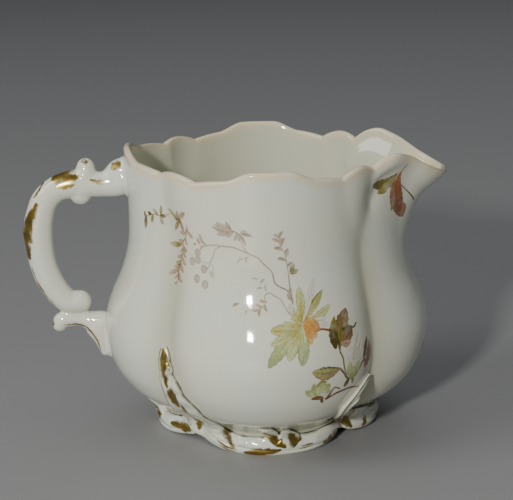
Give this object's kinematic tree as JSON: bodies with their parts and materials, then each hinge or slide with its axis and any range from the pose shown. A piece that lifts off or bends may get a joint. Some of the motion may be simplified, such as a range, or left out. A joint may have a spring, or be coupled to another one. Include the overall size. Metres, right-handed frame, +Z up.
{
  "type": "cream jug",
  "caption": "Lobed porcelain cream jug with a frilled rim, a beak spout, a scrolled twig handle and a foot wrapped in moulded branches.",
  "frame": {"origin": "on the body's vertical axis, on the plane that the four feet rest on", "axes": "+Z up along the body's axis, +X towards the tip of the spout, -X towards the handle, -Y towards the decorated front"},
  "size_m": [0.1381, 0.106, 0.0935],
  "materials": {
    "glazed_body": "glossy clear glaze over cool off-white porcelain, with a printed flower spray",
    "bisque": "unglazed foot, slightly rubbed",
    "glazed_relief": "glossy glaze with brushed gilding",
    "glazed_handle": "glossy glaze with worn gilding",
    "slip_joint": "glossy glaze over luting slip"
  },
  "bodies": {
    "root": {"body": "glazed_body", "foot_ring": "bisque", "foot_branch_front": "glazed_relief", "foot_branch_back": "glazed_relief", "foot_branch_handle": "glazed_relief", "foot_branch_spout": "glazed_relief", "handle": "glazed_handle", "handle_top_slip": "slip_joint", "handle_base_slip": "slip_joint"}
  },
  "joints": []
}
